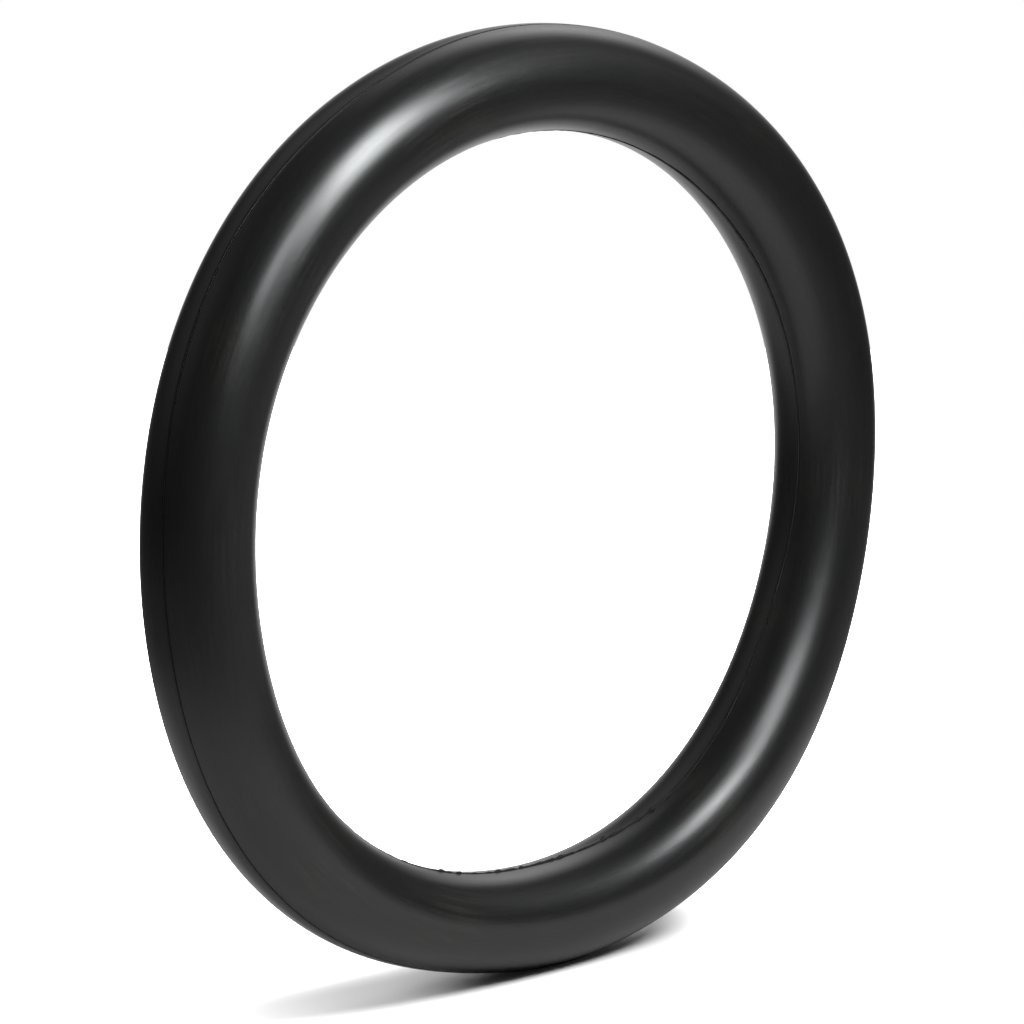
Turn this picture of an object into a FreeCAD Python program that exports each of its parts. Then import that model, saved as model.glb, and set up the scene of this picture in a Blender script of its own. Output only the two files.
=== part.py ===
"""Foam inner tube: a closed-cell foam ring that fills a tyre in place of an air tube.

Millimetres. The ring stands upright, +Z up, with its axis along Y and its origin at the ring's centre.
The ring was moulded in two halves, so its skin meets at a parting line round the outer circumference
and another round the inner one. Both lines lie towards the front, the -Y side, and carry some flash.
"""
import FreeCAD, Part
import math
import os

RING_RADIUS = 305.0  # from the ring's axis to the centre of its section
SECTION_RADIUS = 38.5
SKIN_THICKNESS = 1.5

# Angles round the section, from straight outward, positive towards the back (+Y).
OUTER_LINE = -14.15
INNER_LINE = 189.04

# Flash that squeezed out between the mould halves: a low fin that tapers to its crest.
OUTER_FIN_HEIGHT = 0.5
OUTER_FIN_BASE = 1.2
OUTER_FIN_CREST = 0.4
INNER_FIN_HEIGHT = 0.9
INNER_FIN_BASE = 1.4
INNER_FIN_CREST = 0.5
NIB_HEIGHT = 1.8
NIB_BASE = 1.8
NIB_CREST = 0.8

# Places round the ring, in degrees from +X towards +Z.
OUTER_GAPS = (96.0,)
NIBS = (35.0, 42.0, 253.5, 267.5, 274.0, 285.0, 295.5)
OUTER_GAP_LENGTH = 3.0
NIB_LENGTH = 5.0

CENTRE = FreeCAD.Vector(0, 0, 0)
# A positive turn about this axis goes from +X towards +Z.
TURN_AXIS = FreeCAD.Vector(0, -1, 0)


def section_point(distance, degrees):
    """A point of the section that lies on the +X side, given by its distance from the section's centre."""
    angle = math.radians(degrees)
    return FreeCAD.Vector(RING_RADIUS + distance * math.cos(angle), distance * math.sin(angle), 0)


def section_arc(distance, start, end):
    """The arc of a circle round the section's centre, from one angle to another."""
    middle = (start + end) / 2
    points = [section_point(distance, degrees) for degrees in (start, middle, end)]
    return Part.Arc(*points).toShape()


def section_face(inner_arc, outer_arc):
    """The face between two arcs that run the same way, closed by straight sides."""
    inner_start, inner_end = (vertex.Point for vertex in inner_arc.Vertexes)
    outer_start, outer_end = (vertex.Point for vertex in outer_arc.Vertexes)
    end_side = Part.LineSegment(inner_end, outer_end).toShape()
    start_side = Part.LineSegment(outer_start, inner_start).toShape()
    return Part.Face(Part.Wire([inner_arc, end_side, outer_arc, start_side]))


def sweep_round(face, start, end):
    """The face swept round the ring's axis from one place to another, in degrees."""
    placed = face.copy()
    placed.rotate(CENTRE, TURN_AXIS, start)
    return placed.revolve(CENTRE, TURN_AXIS, end - start)


def core():
    """The foam inside the skin."""
    return Part.makeTorus(RING_RADIUS, SECTION_RADIUS - SKIN_THICKNESS, CENTRE, TURN_AXIS)


def skin(start, end):
    """The dense skin on one side, from one parting line to the other."""
    inner_arc = section_arc(SECTION_RADIUS - SKIN_THICKNESS, start, end)
    outer_arc = section_arc(SECTION_RADIUS, start, end)
    return sweep_round(section_face(inner_arc, outer_arc), 0, 360)


def fin_face(line, height, base, crest):
    """The tapered section of a fin that stands on the skin's surface at a parting line."""
    half_base = math.degrees(base / 2 / SECTION_RADIUS)
    half_crest = math.degrees(crest / 2 / (SECTION_RADIUS + height))
    base_arc = section_arc(SECTION_RADIUS, line - half_base, line + half_base)
    crest_arc = section_arc(SECTION_RADIUS + height, line - half_crest, line + half_crest)
    return section_face(base_arc, crest_arc)


def half_angle(length, line):
    """Half of the angle round the ring that a length on a parting line takes up."""
    line_radius = RING_RADIUS + SECTION_RADIUS * math.cos(math.radians(line))
    return math.degrees(length / 2 / line_radius)


def fin_between(face, places, half_gap):
    """A fin all round the ring, with a gap at each of the places."""
    following = [*places[1:], places[0] + 360]
    stretches = [
        sweep_round(face, place + half_gap, next_place - half_gap)
        for place, next_place in zip(places, following)
    ]
    return Part.makeCompound(stretches)


def outer_fin():
    face = fin_face(OUTER_LINE, OUTER_FIN_HEIGHT, OUTER_FIN_BASE, OUTER_FIN_CREST)
    return fin_between(face, OUTER_GAPS, half_angle(OUTER_GAP_LENGTH, OUTER_LINE))


def inner_fin():
    face = fin_face(INNER_LINE, INNER_FIN_HEIGHT, INNER_FIN_BASE, INNER_FIN_CREST)
    return fin_between(face, NIBS, half_angle(NIB_LENGTH, INNER_LINE))


def nibs():
    """The torn tabs that fill the gaps in the inner fin and stand higher than it."""
    face = fin_face(INNER_LINE, NIB_HEIGHT, NIB_BASE, NIB_CREST)
    half_nib = half_angle(NIB_LENGTH, INNER_LINE)
    return Part.makeCompound([sweep_round(face, place - half_nib, place + half_nib) for place in NIBS])


def main():
    nodes = {
        "foam_core": core(),
        "front_skin": skin(INNER_LINE - 360, OUTER_LINE),
        "back_skin": skin(OUTER_LINE, INNER_LINE),
        "outer_flash": outer_fin(),
        "inner_flash": inner_fin(),
        "flash_nibs": nibs(),
    }
    os.makedirs("parts", exist_ok=True)
    for name, shape in nodes.items():
        shape.exportStep(f"parts/{name}.step")


main()
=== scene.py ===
"""The looks of the foam inner tube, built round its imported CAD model.

Metres, in the CAD frame: the ring stands upright with its axis along Y, and its centre is the origin.
A place on the ring is a turn, from +X towards +Z, and an angle round the section, from straight outward
towards the back (+Y). Both are in degrees.
"""

import math

import bpy
import numpy as np
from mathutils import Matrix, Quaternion, Vector


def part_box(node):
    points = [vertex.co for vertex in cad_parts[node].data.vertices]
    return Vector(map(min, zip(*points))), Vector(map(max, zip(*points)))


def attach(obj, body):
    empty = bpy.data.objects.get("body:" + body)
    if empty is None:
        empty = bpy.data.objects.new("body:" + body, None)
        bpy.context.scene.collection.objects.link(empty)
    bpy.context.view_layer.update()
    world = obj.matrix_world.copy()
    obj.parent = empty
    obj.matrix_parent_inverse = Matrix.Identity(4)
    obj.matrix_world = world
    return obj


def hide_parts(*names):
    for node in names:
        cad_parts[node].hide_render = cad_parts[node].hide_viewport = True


MM = 0.001
SEED = 7

# The ring's slight unevenness, as slow waves: how many go round the ring, their height in mm, and the
# turn of one crest. The ring is a little oval and a little squared, and its section is fuller in places.
# The values are rounded from a fit to the photograph's outline.
RING_WAVES = ((2, 1.0, -10), (4, 2.5, 40), (5, 1.0, 15))
SECTION_WAVES = ((1, 0.5, 60), (2, 1.0, -25), (3, 0.5, 60), (4, 1.0, 35))

# Where the ring rests it bulges down to the floor and is pressed flat: turn, bulge in mm, width in degrees,
# how deep it is pressed in mm, and how sharply the pressed part meets the rest.
REST_TURN, REST_BULGE, REST_WIDTH = 274, 3.2, 13.0
REST_PRESS = 1.0
PRESS_SHARPNESS = 3

# How far each parting line lies off the middle plane, in mm, at the few turns where it changes its course.
# The values are rounded from places read off the photograph.
OUTER_LINE = ((50, -8), (95, -6), (120, -10), (145, -5), (180, -10), (210, -12), (240, -13), (300, -9))
INNER_LINE = ((20, -8), (55, -7), (150, -7), (245, -8), (270, -2), (300, -7), (335, -4), (350, -7))

# The skins' mesh: columns round the ring, rows at these distances in mm from each parting line, the
# spacing in mm of the rows between them, and the rows on the inside. The core's columns and rows are fewer,
# and a small gap in mm keeps its surface off the skins' inside.
COLUMNS = 1080
EDGE_ROWS = (0.03, 0.25, 0.5, 0.75, 1.0, 1.4, 1.9, 2.6, 3.6, 5.0)
ROW_SPACING = 3.2
INSIDE_ROWS = 14
CORE_COLUMNS, CORE_ROWS = 360, 48
CORE_GAP = 0.02

# The seam: a groove along the line and a low swelling beside it, in mm.
GROOVE_DEPTH = 0.6
GROOVE_HALF_WIDTH = 1.05
SHOULDER_HEIGHT = 0.14
SHOULDER_CENTRE = 2.1
SHOULDER_WIDTH = 0.9

# The flash is a thin fin. Its section's six points, as shares of its thickness and as above or below the
# skin's surface, how deep in mm its root and foot lie, and the length in mm of its steps along the line.
FIN_ACROSS = (-0.5, -0.5, -0.28, 0.28, 0.5, 0.5)
FIN_UP = (-1, 0, 1, 1, 0, -1)
FIN_ROOT_DEPTH = 0.6
FIN_FOOT_DEPTH = 0.1
FIN_STEP = 0.6
NIB_STEP = 0.35

# The gap in the outer rib: its turn, and half its length in mm. The rib tapers over some steps to it.
GAP_TURN = 96.0
GAP_HALF = 1.5
GAP_TAPER_STEPS = 4

# Where the camera stands: round the ring from its front, above the horizon, and how far off. Then how far
# it is moved left and down, and its lens in mm. All of these come from a fit to the photograph's outline.
CAMERA_AZIMUTH = -42.87
CAMERA_ELEVATION = 10.25
CAMERA_DISTANCE = 3.105
CAMERA_LEFT = 13.80 * MM
CAMERA_DOWN = 5.52 * MM
CAMERA_LENS = 153.77
SENSOR_WIDTH = 36.0

# Soft boxes: name, the place on the ring that each faces, and from there its azimuth, elevation and
# distance. Then its width, height, turn about its own middle in degrees, and radiance.
UPPER_LEFT = Vector((-0.18, -0.035, 0.265))
LOWER_RIGHT = Vector((0.20, -0.03, -0.20))
SOFT_BOXES = (
    ("upper_box", UPPER_LEFT, 17.5, 31.5, 1.35, 0.44, 1.04, 22, 2.65),
    ("lower_box", LOWER_RIGHT, -17.0, 30.0, 1.35, 0.38, 1.00, 49, 0.92),
)
SOFT_BOX_COLOUR = (0.965, 0.99, 1.0)
SOFT_BOX_SPREAD = 50

# Lamps for the floor alone, in turn from its middle: name, azimuth, elevation, width and radiance.
FLOOR_LAMPS = (
    ("floor_front", 45, 50, 0.80, 32),
    ("floor_left", -88, 28, 0.60, 24),
    ("floor_behind", -120, 28, 0.60, 8),
    ("floor_above", 0, 80, 0.90, 8),
)
FLOOR_LAMP_DISTANCE = 2.0

# The room's light: azimuth, elevation, half widths of each patch in degrees, and its strength. The patches
# began as a fit of light directions to the photograph's grey levels, and were then changed.
ROOM_PATCHES = (
    (137, 3, 34, 26, 1.0),
    (120, 37.5, 32, 27, 2.3),
    (135, 62.5, 50, 27, 0.8),
    (180, 50, 45, 30, 0.3),
    (-130, 30, 50, 35, 0.3),
    (60, 37.5, 32, 27, 0.5),
)
ROOM_BASE = 0.06

# The floor: its size, and what the ring's reflections see of it. That is its whiteness near the ring and
# far off, in metres from the middle, and a glowing stretch of it in the backdrop's direction.
FLOOR_RADIUS = 3.2
FLOOR_RINGS, FLOOR_SIDES = 24, 96
FLOOR_WHITE = 0.42
FLOOR_FAR_WHITE = 0.10
FLOOR_NEAR = 0.45
FLOOR_FAR = 0.95
BACKDROP_AZIMUTH = 137
BACKDROP_HALF_WIDTH = 38
BACKDROP_NEAR, BACKDROP_FAR = 0.5, 0.95
# What the camera sees of it instead: a floor that is whiter than paper can be, so that it burns out to
# white as in the photograph. Its whiteness near the ring and farther off, and where it glows as well.
# Lower near the ring, this whiteness paints shade round the ring and deepens its shadow there.
FLOOR_SHADED_GAIN_NEAR = 0.9
FLOOR_GAIN_FAR = 4.5
GAIN_NEAR, GAIN_FAR = 0.10, 0.6
GLOW_NEAR, GLOW_FAR = 0.5, 1.2

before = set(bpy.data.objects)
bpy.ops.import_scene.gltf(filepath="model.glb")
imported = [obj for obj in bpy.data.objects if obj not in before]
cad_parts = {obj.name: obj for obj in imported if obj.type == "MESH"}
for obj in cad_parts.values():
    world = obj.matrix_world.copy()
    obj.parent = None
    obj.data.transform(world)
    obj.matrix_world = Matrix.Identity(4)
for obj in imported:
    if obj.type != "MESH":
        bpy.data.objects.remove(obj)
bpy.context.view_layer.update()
random = np.random.default_rng(SEED)


# ---------------------------------------------------------------- the ring's shape

def ring_sizes():
    """The ring radius, section radius and skin thickness, from the CAD nodes."""
    low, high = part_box("back_skin")
    core_low, core_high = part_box("foam_core")
    section = high.y
    return (high.x - low.x) / 2 - section, section, section - (core_high.y - core_low.y) / 2


RING, SECTION, SKIN = ring_sizes()


def unevenness(waves, turns):
    """The sum of a few slow waves round the ring, in metres."""
    return sum(height * MM * np.cos(np.radians(count * (turns - crest))) for count, height, crest in waves)


def nearness(turns, place, reach):
    """1 at a place on the ring, falling off smoothly to both sides. All in degrees."""
    off = (turns - place + 180) % 360 - 180
    return np.exp(-((off / reach) ** 2))


def free_ring(turns, angles, lift):
    """How far points lie from the ring's axis and how far along it, in metres, with no floor under it."""
    angle = np.radians(angles)
    radius = SECTION + unevenness(SECTION_WAVES, turns) + lift
    bulge = REST_BULGE * MM * nearness(turns, REST_TURN, REST_WIDTH) * np.clip(np.cos(angle), 0, 1)
    across = RING + unevenness(RING_WAVES, turns) + bulge + radius * np.cos(angle)
    return across, radius * np.sin(angle)


def floor_height():
    """The floor's height: a little above the lowest point of the ring with no floor under it."""
    turns = np.linspace(260, 290, 61)
    across, _ = free_ring(turns, 0, 0)
    return (across * np.sin(np.radians(turns))).min() + REST_PRESS * MM


FLOOR_HEIGHT = floor_height()


def ring_points(turns, angles, lift):
    """Points on the ring, lifted off its plain surface by a distance in metres. All three are arrays."""
    turn = np.radians(turns)
    across, along = free_ring(turns, angles, lift)
    above = (across * np.sin(turn) - FLOOR_HEIGHT) / (REST_PRESS * MM)
    pressed = np.logaddexp(0, PRESS_SHARPNESS * above) / PRESS_SHARPNESS
    height = FLOOR_HEIGHT + REST_PRESS * MM * pressed
    return np.stack([across * np.cos(turn), along, height], axis=-1)


def smooth_round(stations, turns):
    """A smooth curve through values that are given at a few turns, closed on itself."""
    at = np.array([turn for turn, _ in stations], float)
    value = np.array([v for _, v in stations], float)
    at = np.concatenate([at[-2:] - 360, at, at[:2] + 360])
    value = np.concatenate([value[-2:], value, value[:2]])
    slope = np.gradient(value, at)
    place = np.mod(turns, 360)
    i = np.clip(np.searchsorted(at, place, side="right") - 1, 0, len(at) - 2)
    width = at[i + 1] - at[i]
    u = (place - at[i]) / width
    return (
        (2 * u**3 - 3 * u**2 + 1) * value[i]
        + (u**3 - 2 * u**2 + u) * width * slope[i]
        + (3 * u**2 - 2 * u**3) * value[i + 1]
        + (u**3 - u**2) * width * slope[i + 1]
    )


def ragged(count, width):
    """A closed run of random values between 0 and 1, smoothed over about so many steps."""
    values = random.random(count)
    reach = np.minimum(np.arange(count), count - np.arange(count))
    kernel = np.exp(-0.5 * (reach / width) ** 2)
    smooth = np.real(np.fft.ifft(np.fft.fft(values) * np.fft.fft(kernel)))
    return (smooth - smooth.min()) / (smooth.max() - smooth.min())


def line_angle(side, turns):
    """The section angle of the outer or inner parting line."""
    offset = smooth_round(OUTER_LINE if side == "outer" else INNER_LINE, turns) * MM
    angle = np.degrees(np.arcsin(offset / SECTION))
    return angle if side == "outer" else 180 - angle


# ---------------------------------------------------------------- meshes

def new_piece(name, points, faces, material, replaces):
    """Makes a smooth-shaded piece that rides on the one body and stands for a CAD node."""
    mesh = bpy.data.meshes.new(name)
    mesh.from_pydata([tuple(p) for p in points], [], faces)
    mesh.update()
    mesh.shade_smooth()
    mesh.materials.append(material)
    piece = bpy.data.objects.new(name, mesh)
    bpy.context.scene.collection.objects.link(piece)
    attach(piece, "root")
    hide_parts(replaces)
    return piece


def band_faces(columns, rows, first=0, closed=True):
    """Faces of a band of columns, each a loop of so many points, its normals outward.

    The band closes on itself, or else it has a cap on each end. first is the number of its first point.
    """
    faces = []
    for i in range(columns if closed else columns - 1):
        here, there = first + i * rows, first + (i + 1) % columns * rows
        for j in range(rows):
            k = (j + 1) % rows
            faces.append((here + j, here + k, there + k, there + j))
    if not closed:
        last = first + (columns - 1) * rows
        faces.append(tuple(first + j for j in reversed(range(rows))))
        faces.append(tuple(last + j for j in range(rows)))
    return faces


def seam_lift(distance):
    """How far the skin's surface stands off the plain section at a distance in mm from a parting line."""
    groove = GROOVE_DEPTH * np.clip(1 - distance / GROOVE_HALF_WIDTH, 0, 1)
    shoulder = SHOULDER_HEIGHT * np.exp(-(((distance - SHOULDER_CENTRE) / SHOULDER_WIDTH) ** 2))
    return (shoulder - groove) * MM


def skin(name, start_side, end_side, material, node):
    """One half of the moulded skin: a shell from one parting line round to the other."""
    turns = np.arange(COLUMNS) * 360 / COLUMNS
    start = line_angle(start_side, turns)
    end = line_angle(end_side, turns)
    end = np.where(end < start, end + 360, end)
    length = np.radians(end - start) * SECTION / MM
    between = length - 2 * EDGE_ROWS[-1]
    near = np.tile(EDGE_ROWS, (COLUMNS, 1))
    shares = np.linspace(0, 1, int(between.mean() / ROW_SPACING))[1:-1]
    middle = EDGE_ROWS[-1] + between[:, None] * shares[None, :]
    outside = np.concatenate([near, middle, (length[:, None] - near)[:, ::-1]], axis=1)
    inside = np.linspace(EDGE_ROWS[0], length - EDGE_ROWS[0], INSIDE_ROWS, axis=1)[:, ::-1]
    lift = seam_lift(np.minimum(outside, length[:, None] - outside))
    along = np.concatenate([outside, inside], axis=1)
    lift = np.concatenate([lift, np.full(inside.shape, -SKIN)], axis=1)
    angles = start[:, None] + np.degrees(along * MM / SECTION)
    points = ring_points(np.repeat(turns[:, None], along.shape[1], axis=1), angles, lift)
    faces = band_faces(COLUMNS, along.shape[1])
    piece = new_piece(name, points.reshape(-1, 3), faces, material, node)
    return piece


def core(name, material, node):
    """The foam ring inside the skin."""
    columns = np.arange(CORE_COLUMNS) * 360 / CORE_COLUMNS
    rows = np.arange(CORE_ROWS) * 360 / CORE_ROWS
    turns = np.repeat(columns[:, None], CORE_ROWS, axis=1)
    angles = np.repeat(rows[None, :], CORE_COLUMNS, axis=0)
    points = ring_points(turns, angles, np.full(turns.shape, -SKIN - CORE_GAP * MM))
    faces = band_faces(CORE_COLUMNS, CORE_ROWS)
    piece = new_piece(name, points.reshape(-1, 3), faces, material, node)
    return piece


def fin(turns, side, height, thickness, lean):
    """Points of a thin fin along a parting line: its section's points at each turn, sizes in mm.

    lean moves its crest sideways, in mm.
    """
    base = line_angle(side, turns)
    across = np.array(FIN_ACROSS)
    up = np.array(FIN_UP)[None, :]
    rise = np.where(up > 0, height[:, None], np.where(up < 0, -FIN_ROOT_DEPTH, -FIN_FOOT_DEPTH))
    aside = across[None, :] * thickness[:, None] + (up > 0) * lean[:, None]
    angles = base[:, None] + np.degrees(aside * MM / SECTION)
    return ring_points(np.repeat(turns[:, None], len(across), axis=1), angles, rise * MM)


def step_turns(start, end, step, radius):
    """Turns from start to end, spaced so many metres apart along a circle."""
    count = max(4, int(math.radians(end - start) * radius / step))
    return np.linspace(start, end, count)


def outer_flash(material):
    """The fine rib along the outer parting line, broken at one short gap."""
    outside = RING + SECTION
    half = math.degrees(GAP_HALF * MM / outside)
    turns = step_turns(GAP_TURN + half, GAP_TURN + 360 - half, FIN_STEP * MM, outside)
    n = len(turns)
    from_end = np.minimum(np.arange(n), n - 1 - np.arange(n))
    taper = np.clip(from_end / GAP_TAPER_STEPS, 0.2, 1)
    height = (0.02 + 0.28 * ragged(n, 60) * (0.6 + 0.4 * ragged(n, 5))) * taper
    thickness = 0.42 + 0.22 * ragged(n, 40)
    lean = 0.12 * (ragged(n, 90) - 0.5)
    points = fin(turns, "outer", height, thickness, lean)
    faces = band_faces(n, len(FIN_UP), closed=False)
    return new_piece("outer_flash_line", points.reshape(-1, 3), faces, material, "outer_flash")


# How smooth the inner rib's tears are, in steps, and how much taller than stated its tallest tears stand.
TEAR_LENGTH = 3.2
TEAR_GAIN = 1.5
# Where the inner rib is thicker and taller: turn, reach in degrees, extra height and thickness in mm.
THICK_STRETCHES = (
    (27, 4.0, 0.3, 0.9), (40, 2.5, 0.3, 0.5), (249, 5.0, 1.0, 0.5), (262, 5.0, 1.0, 0.6),
    (277, 12.0, 1.8, 0.8), (292, 6.0, 1.2, 0.9), (304, 6.0, 0.8, 0.7), (317, 3.0, 0.6, 0.7),
    (339.5, 2.6, 0.6, 1.1),
)


def inner_flash(material):
    """The torn rib along the inner parting line."""
    n = int(2 * math.pi * (RING - SECTION) / (FIN_STEP * MM))
    turns = np.arange(n) * 360 / n
    torn = ragged(n, TEAR_LENGTH)
    height = 0.05 + 0.80 * ragged(n, 70) * torn**1.5 + 0.25 * ragged(n, 12)
    thickness = 0.55 + 0.5 * ragged(n, 30)
    for turn, reach, taller, thicker in THICK_STRETCHES:
        near = nearness(turns, turn, reach)
        height = height + near * taller * TEAR_GAIN * torn**2
        thickness = thickness + near * thicker * (0.5 + 0.5 * torn)
    lean = 0.9 * (ragged(n, 45) - 0.5) + 0.5 * (ragged(n, 4) - 0.5)
    points = fin(turns, "inner", height, thickness, lean)
    faces = band_faces(n, len(FIN_UP))
    return new_piece("inner_flash_torn", points.reshape(-1, 3), faces, material, "inner_flash")


# Stubs of torn flash on the inner line, at the same turns as the CAD node's, which were read off the
# photograph: turn, then length, height, thickness and lean in mm.
NIBS = (
    (35.0, 3.5, 1.0, 1.3, 0.5), (42.0, 4.0, 1.2, 1.2, -0.4), (253.5, 5.5, 2.0, 1.9, 0.6),
    (267.5, 5.0, 1.8, 2.1, -0.5), (274.0, 6.0, 2.0, 2.0, 0.4), (285.0, 6.0, 2.5, 2.2, -0.3),
    (295.5, 6.0, 2.8, 2.4, 0.7),
)


def flash_nibs(material):
    """The taller stubs of torn flash, as one piece of separate lumps."""
    points, faces = [], []
    for turn, length, height, thickness, lean in NIBS:
        half = math.degrees(length * MM / 2 / (RING - SECTION))
        turns = step_turns(turn - half, turn + half, NIB_STEP * MM, RING - SECTION)
        n = len(turns)
        swell = np.sin(np.linspace(0.12, math.pi - 0.12, n)) ** 0.6
        high = height * swell * (0.72 + 0.28 * random.random(n))
        thick = thickness * (0.45 + 0.55 * swell) * (0.9 + 0.2 * random.random(n))
        run = fin(turns, "inner", high, thick, lean * swell)
        faces += band_faces(n, len(FIN_UP), len(points), closed=False)
        points += list(run.reshape(-1, 3))
    return new_piece("flash_nibs_torn", points, faces, material, "flash_nibs")


# ---------------------------------------------------------------- materials

class Nodes:
    """A short way to add and link shader nodes in one tree."""

    def __init__(self, tree):
        self.tree = tree

    def add(self, kind, inputs=None, **settings):
        """Adds a node. An input's value is a constant or another node's output."""
        node = self.tree.nodes.new(kind)
        for key, value in settings.items():
            setattr(node, key, value)
        for key, value in (inputs or {}).items():
            if isinstance(value, bpy.types.NodeSocket):
                self.tree.links.new(value, node.inputs[key])
            else:
                node.inputs[key].default_value = value
        return node

    def math(self, operation, a, b=0.0, clamp=False):
        """A Math node's output."""
        return self.add("ShaderNodeMath", {0: a, 1: b}, operation=operation, use_clamp=clamp).outputs[0]

    def window(self, value, low, high, to_low=0.0, to_high=1.0):
        """Maps a value smoothly from one range to another, and holds it beyond the ends."""
        inputs = {"Value": value, "From Min": low, "From Max": high, "To Min": to_low, "To Max": to_high}
        return self.add("ShaderNodeMapRange", inputs, interpolation_type="SMOOTHSTEP").outputs[0]

    def noise(self, vector, scale, detail=3.0, roughness=0.5, w=None):
        """A noise texture's value, in four dimensions if w is given."""
        inputs = {"Vector": vector, "Scale": scale, "Detail": detail, "Roughness": roughness}
        if w is not None:
            inputs["W"] = w
        kind = "3D" if w is None else "4D"
        return self.add("ShaderNodeTexNoise", inputs, noise_dimensions=kind).outputs["Fac"]

    def mix(self, factor, a, b):
        """A mix of two colours."""
        node = self.add("ShaderNodeMix", {"Factor": factor}, data_type="RGBA")
        for key, value in (("A", a), ("B", b)):
            socket = next(s for s in node.inputs if s.name == key and s.type == "RGBA")
            if isinstance(value, bpy.types.NodeSocket):
                self.tree.links.new(value, socket)
            else:
                socket.default_value = (*value, 1)
        return next(s for s in node.outputs if s.type == "RGBA")

    def bump(self, height, distance, strength=1.0, normal=None):
        """A Bump node's normal, its height counted in metres by distance."""
        inputs = {"Height": height, "Distance": distance, "Strength": strength}
        if normal is not None:
            inputs["Normal"] = normal
        return self.add("ShaderNodeBump", inputs).outputs[0]


def new_material(name, **constants):
    """A material with a Principled shader, its steady values set on the shader's own sockets."""
    material = bpy.data.materials.new(name)
    material.use_nodes = True
    shader = material.node_tree.nodes["Principled BSDF"]
    for key, value in constants.items():
        shader.inputs[key.replace("_", " ")].default_value = value
    return material, Nodes(material.node_tree), shader


def distance_of(nodes, a, b):
    """The length of the long side of a right triangle, as a node's output."""
    squares = nodes.math("ADD", nodes.math("MULTIPLY", a, a), nodes.math("MULTIPLY", b, b))
    return nodes.math("SQRT", squares)


def ring_coordinates(nodes):
    """Where a point lies on the ring: its place, and its turn and angle as unit circles, without a jump."""
    place = nodes.add("ShaderNodeTexCoord").outputs["Object"]
    split = nodes.add("ShaderNodeSeparateXYZ", {0: place})
    x, y, z = split.outputs
    flat = distance_of(nodes, x, z)
    out = nodes.math("SUBTRACT", flat, RING)
    round_section = distance_of(nodes, out, y)
    return {
        "place": place,
        "turn_x": nodes.math("DIVIDE", x, flat),
        "turn_z": nodes.math("DIVIDE", z, flat),
        "out": nodes.math("DIVIDE", out, round_section),
        "side": nodes.math("DIVIDE", y, round_section),
    }


def streaks(nodes, at, along, across, detail=3.0, roughness=0.55):
    """Noise stretched round the ring: along and across are how fine it is each way."""
    parts = {
        0: nodes.math("MULTIPLY", at["turn_x"], along),
        1: nodes.math("MULTIPLY", at["turn_z"], along),
        2: nodes.math("MULTIPLY", at["out"], across),
    }
    vector = nodes.add("ShaderNodeCombineXYZ", parts).outputs[0]
    return nodes.noise(vector, 1.0, detail, roughness, w=nodes.math("MULTIPLY", at["side"], across))


# Colours of the materials, each from its darker to its lighter places.
RUBBER_DARK, RUBBER_LIGHT = (0.0065, 0.0066, 0.0066), (0.0095, 0.0094, 0.0090)
RUBBER_DUST = (0.022, 0.020, 0.016)
TORN_DARK_SHARES, TORN_LIGHT_SHARES = (0.55, 0.55, 0.55), (1.9, 1.85, 1.7)
# The foam's darker colour is painted shade in its cells' hollows.
FOAM_HOLLOW_SHADE, FOAM_LIGHT = (0.008, 0.008, 0.008), (0.035, 0.034, 0.032)
FOAM_TINT = (0.02, 0.019, 0.017)


def rubber_skin(name):
    """Satin black moulded rubber: fine grain, wipe marks round the ring, and duller, dusty places."""
    material, nodes, shader = new_material(name, IOR=1.5)
    at = ring_coordinates(nodes)
    cloud = nodes.noise(at["place"], 14.0, 4.0, 0.55)
    wipe = streaks(nodes, at, 5.0, 14.0, 4.0, 0.6)
    fine_wipe = streaks(nodes, at, 12.0, 60.0, 3.0, 0.6)
    dust = nodes.math("MULTIPLY", nodes.window(cloud, 0.45, 0.72), nodes.window(wipe, 0.42, 0.70))
    speck = nodes.noise(at["place"], 420.0, 3.0, 0.6)
    dust = nodes.math("MULTIPLY", dust, nodes.window(speck, 0.3, 0.75, 0.5, 1.0))
    colour = nodes.mix(nodes.window(fine_wipe, 0.35, 0.7), RUBBER_DARK, RUBBER_LIGHT)
    colour = nodes.mix(nodes.math("MULTIPLY", dust, 0.8), colour, RUBBER_DUST)
    nodes.tree.links.new(colour, shader.inputs["Base Color"])
    rough = nodes.window(wipe, 0.3, 0.75, 0.285, 0.315)
    rough = nodes.math("ADD", rough, nodes.math("MULTIPLY", dust, 0.06))
    rough = nodes.math("ADD", rough, nodes.window(speck, 0.3, 0.7, -0.012, 0.012))
    nodes.tree.links.new(rough, shader.inputs["Roughness"])
    grain = nodes.noise(at["place"], 900.0, 2.0, 0.6)
    sag = nodes.noise(at["place"], 26.0, 1.0, 0.4)
    normal = nodes.bump(sag, 0.25 * MM)
    normal = nodes.bump(grain, 0.012 * MM, normal=normal)
    nodes.tree.links.new(normal, shader.inputs["Normal"])
    return material


def torn_rubber(name, base, rough):
    """Duller rubber of the thin flash: torn, and greyer on its high spots. base is its colour's level."""
    material, nodes, shader = new_material(name, IOR=1.5)
    place = nodes.add("ShaderNodeTexCoord").outputs["Object"]
    tear = nodes.noise(place, 700.0, 4.0, 0.65)
    patch = nodes.noise(place, 90.0, 3.0, 0.5)
    dark = tuple(base * share for share in TORN_DARK_SHARES)
    light = tuple(base * share for share in TORN_LIGHT_SHARES)
    colour = nodes.mix(nodes.window(nodes.math("MULTIPLY", tear, patch), 0.16, 0.38), dark, light)
    nodes.tree.links.new(colour, shader.inputs["Base Color"])
    nodes.tree.links.new(nodes.window(patch, 0.3, 0.7, rough, rough + 0.15), shader.inputs["Roughness"])
    nodes.tree.links.new(nodes.bump(tear, 0.12 * MM), shader.inputs["Normal"])
    return material


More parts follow.
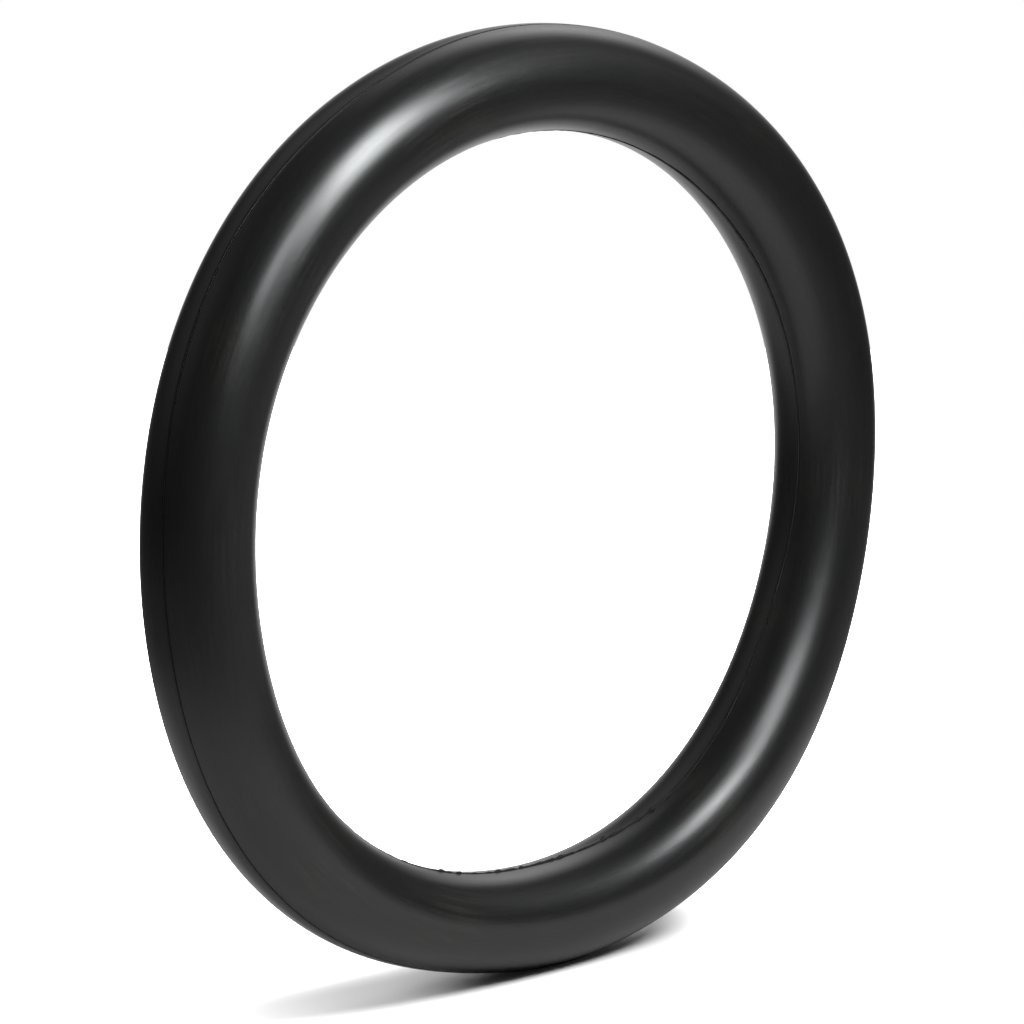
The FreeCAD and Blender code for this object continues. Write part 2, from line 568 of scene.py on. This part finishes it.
def cell_foam(name):
    """Closed-cell black foam: small round cells between thin walls, their hollows painted darker as shade.
    """
    material, nodes, shader = new_material(name, IOR=1.45)
    place = nodes.add("ShaderNodeTexCoord").outputs["Object"]
    inputs = {"Vector": place, "Scale": 900.0, "Randomness": 1.0}
    cells = nodes.add("ShaderNodeTexVoronoi", inputs, feature="SMOOTH_F1").outputs["Distance"]
    tint = nodes.noise(place, 30.0, 3.0, 0.5)
    # Painted shade: each cell is darker towards its hollow middle and paler at its walls.
    colour = nodes.mix(nodes.window(cells, 0.1, 0.6), FOAM_HOLLOW_SHADE, FOAM_LIGHT)
    colour = nodes.mix(nodes.window(tint, 0.4, 0.8, 0.0, 0.4), colour, FOAM_TINT)
    nodes.tree.links.new(colour, shader.inputs["Base Color"])
    nodes.tree.links.new(nodes.window(cells, 0.0, 0.7, 0.95, 0.7), shader.inputs["Roughness"])
    nodes.tree.links.new(nodes.bump(cells, 0.4 * MM), shader.inputs["Normal"])
    return material


# ---------------------------------------------------------------- the studio

def direction(azimuth, elevation):
    """The unit vector towards a place round the ring: azimuth 0 is in front of it, 90 on its +X side."""
    a, e = math.radians(azimuth), math.radians(elevation)
    return Vector((math.sin(a) * math.cos(e), -math.cos(a) * math.cos(e), math.sin(e)))


def add_camera():
    """The photograph's view: from the front left and a little above."""
    data = bpy.data.cameras.new("camera")
    data.sensor_width = SENSOR_WIDTH
    data.lens = CAMERA_LENS
    data.clip_start, data.clip_end = 0.1, 50
    camera = bpy.data.objects.new("camera", data)
    bpy.context.scene.collection.objects.link(camera)
    back = direction(CAMERA_AZIMUTH, CAMERA_ELEVATION)
    camera.rotation_mode = "QUATERNION"
    camera.rotation_quaternion = (-back).to_track_quat("-Z", "Y")
    right = camera.rotation_quaternion @ Vector((1, 0, 0))
    up = camera.rotation_quaternion @ Vector((0, 1, 0))
    camera.location = back * CAMERA_DISTANCE - right * CAMERA_LEFT - up * CAMERA_DOWN
    bpy.context.scene.camera = camera


def aimed_light(data, towards, aim, distance, roll, lit):
    """A light that the camera doesn't see itself, aimed at a place, for the objects in one collection."""
    light = bpy.data.objects.new(data.name, data)
    bpy.context.scene.collection.objects.link(light)
    light.visible_camera = False
    light.location = aim + towards * distance
    light.rotation_mode = "QUATERNION"
    facing = (-towards).to_track_quat("-Z", "Y")
    light.rotation_quaternion = facing @ Quaternion((0, 0, 1), math.radians(roll))
    light.light_linking.receiver_collection = lit


def lit_together(name, pieces):
    """A collection of objects that share their lights."""
    group = bpy.data.collections.new(name)
    for piece in pieces:
        group.objects.link(piece)
    return group


def add_soft_boxes(lit):
    """Soft boxes in front of the ring, which light its pieces alone."""
    for name, aim, azimuth, elevation, distance, width, height, roll, radiance in SOFT_BOXES:
        data = bpy.data.lights.new(name, "AREA")
        data.shape = "RECTANGLE"
        data.size, data.size_y = width, height
        data.energy = radiance * math.pi * width * height
        data.spread = math.radians(SOFT_BOX_SPREAD)
        data.color = SOFT_BOX_COLOUR
        aimed_light(data, direction(azimuth, elevation), aim, distance, roll, lit)


def add_floor_lamps(lit):
    """Lamps that light the floor alone, so that the ring's shadow falls as it does in the photograph."""
    middle = Vector((0, 0, FLOOR_HEIGHT))
    for name, azimuth, elevation, width, radiance in FLOOR_LAMPS:
        data = bpy.data.lights.new(name, "AREA")
        data.shape = "DISK"
        data.size = width
        data.energy = radiance * math.pi * math.pi * width * width / 4
        aimed_light(data, direction(azimuth, elevation), middle, FLOOR_LAMP_DISTANCE, 0, lit)


def room_light():
    """White behind everything for the camera; for the ring, a dim room with soft bright patches."""
    world = bpy.data.worlds.new("room")
    world.use_nodes = True
    nodes = Nodes(world.node_tree)
    back = world.node_tree.nodes["Background"]
    place = nodes.add("ShaderNodeTexCoord").outputs["Generated"]
    x, y, z = nodes.add("ShaderNodeSeparateXYZ", {0: place}).outputs
    azimuth = nodes.math("ARCTAN2", x, nodes.math("MULTIPLY", y, -1.0))
    elevation = nodes.math("ARCSINE", z)
    total = ROOM_BASE
    for at, up, half_width, half_height, strength in ROOM_PATCHES:
        off = nodes.math("SUBTRACT", azimuth, math.radians(at))
        off = nodes.add("ShaderNodeMath", {0: off, 1: math.pi, 2: -math.pi}, operation="WRAP").outputs[0]
        off = nodes.math("ABSOLUTE", off)
        across = nodes.window(off, 0.0, math.radians(half_width), 1.0, 0.0)
        over = nodes.math("ABSOLUTE", nodes.math("SUBTRACT", elevation, math.radians(up)))
        upright = nodes.window(over, 0.0, math.radians(half_height), 1.0, 0.0)
        patch = nodes.math("MULTIPLY", nodes.math("MULTIPLY", across, upright), strength)
        total = nodes.math("ADD", patch, total)
    seen = nodes.add("ShaderNodeLightPath").outputs["Is Camera Ray"]
    strength = nodes.add("ShaderNodeMix", {0: seen, 2: total, 3: 1.0}).outputs[0]
    nodes.tree.links.new(strength, back.inputs["Strength"])
    back.inputs["Color"].default_value = (1, 1, 1, 1)
    bpy.context.scene.world = world


def add_floor(height):
    """A round studio floor at that height, its mesh finer towards the middle."""
    rings, sides = FLOOR_RINGS, FLOOR_SIDES
    points, faces = [(0.0, 0.0, height)], []
    for i in range(1, rings + 1):
        radius = FLOOR_RADIUS * (i / rings) ** 1.5
        for j in range(sides):
            a = 2 * math.pi * j / sides
            points.append((radius * math.cos(a), radius * math.sin(a), height))
    faces += [(0, 1 + j, 1 + (j + 1) % sides) for j in range(sides)]
    for i in range(rings - 1):
        here, there = 1 + i * sides, 1 + (i + 1) * sides
        for j in range(sides):
            k = (j + 1) % sides
            faces.append((here + j, there + j, there + k, here + k))
    mesh = bpy.data.meshes.new("studio_floor")
    mesh.from_pydata(points, [], faces)
    mesh.update()
    mesh.materials.append(floor_paper())
    floor = bpy.data.objects.new("studio_floor", mesh)
    bpy.context.scene.collection.objects.link(floor)
    return floor


def floor_paper():
    """Pale paper. The camera sees it burnt out to white, save near the ring where it is painted darker as
    shade, and the ring's reflections see it darker.
    """
    material, nodes, shader = new_material("floor_paper", Roughness=1.0)
    shader.inputs["Specular IOR Level"].default_value = 0.0
    shader.inputs["Emission Color"].default_value = (1, 1, 1, 1)
    place = nodes.add("ShaderNodeTexCoord").outputs["Object"]
    flat = nodes.add("ShaderNodeVectorMath", {0: place, 1: (1, 1, 0)}, operation="MULTIPLY").outputs[0]
    reach = nodes.add("ShaderNodeVectorMath", {0: flat}, operation="LENGTH").outputs["Value"]
    bearing = nodes.add("ShaderNodeVectorMath", {0: flat}, operation="NORMALIZE").outputs[0]
    behind = {0: bearing, 1: direction(BACKDROP_AZIMUTH, 0)}
    behind = nodes.add("ShaderNodeVectorMath", behind, operation="DOT_PRODUCT").outputs["Value"]
    behind = nodes.window(behind, math.cos(math.radians(BACKDROP_HALF_WIDTH)), 0.97)
    behind = nodes.math("MULTIPLY", behind, nodes.window(reach, BACKDROP_NEAR, BACKDROP_FAR))
    white = nodes.window(reach, FLOOR_NEAR, FLOOR_FAR, FLOOR_WHITE, FLOOR_FAR_WHITE)
    # Painted shade: the camera sees the floor less white near the ring, so it is darker round the ring.
    shaded_gain = nodes.window(reach, GAIN_NEAR, GAIN_FAR, FLOOR_SHADED_GAIN_NEAR, FLOOR_GAIN_FAR)
    glow = nodes.window(reach, GLOW_NEAR, GLOW_FAR)
    seen = nodes.add("ShaderNodeLightPath").outputs["Is Camera Ray"]
    tint = nodes.add("ShaderNodeMix", {0: seen, 2: white, 3: shaded_gain}).outputs[0]
    tint = nodes.add("ShaderNodeCombineXYZ", {0: tint, 1: tint, 2: tint}).outputs[0]
    nodes.tree.links.new(tint, shader.inputs["Base Color"])
    glow = nodes.add("ShaderNodeMix", {0: seen, 2: behind, 3: glow}).outputs[0]
    nodes.tree.links.new(glow, shader.inputs["Emission Strength"])
    return material


# ---------------------------------------------------------------- everything put together


add_camera()
skin_finish = rubber_skin("satin_rubber")
torn_finish = torn_rubber("torn_rubber", 0.004, 0.75)
rib_finish = torn_rubber("rib_rubber", 0.006, 0.55)
foam_finish = cell_foam("cell_foam")
pieces = [
    skin("front_skin_moulded", "inner", "outer", skin_finish, "front_skin"),
    skin("back_skin_moulded", "outer", "inner", skin_finish, "back_skin"),
    core("foam_core_cells", foam_finish, "foam_core"),
    outer_flash(rib_finish),
    inner_flash(torn_finish),
    flash_nibs(torn_finish),
]
add_soft_boxes(lit_together("lit_by_boxes", pieces))
add_floor_lamps(lit_together("lit_by_lamps", [add_floor(FLOOR_HEIGHT)]))
room_light()
bpy.context.scene.view_settings.view_transform = "Standard"
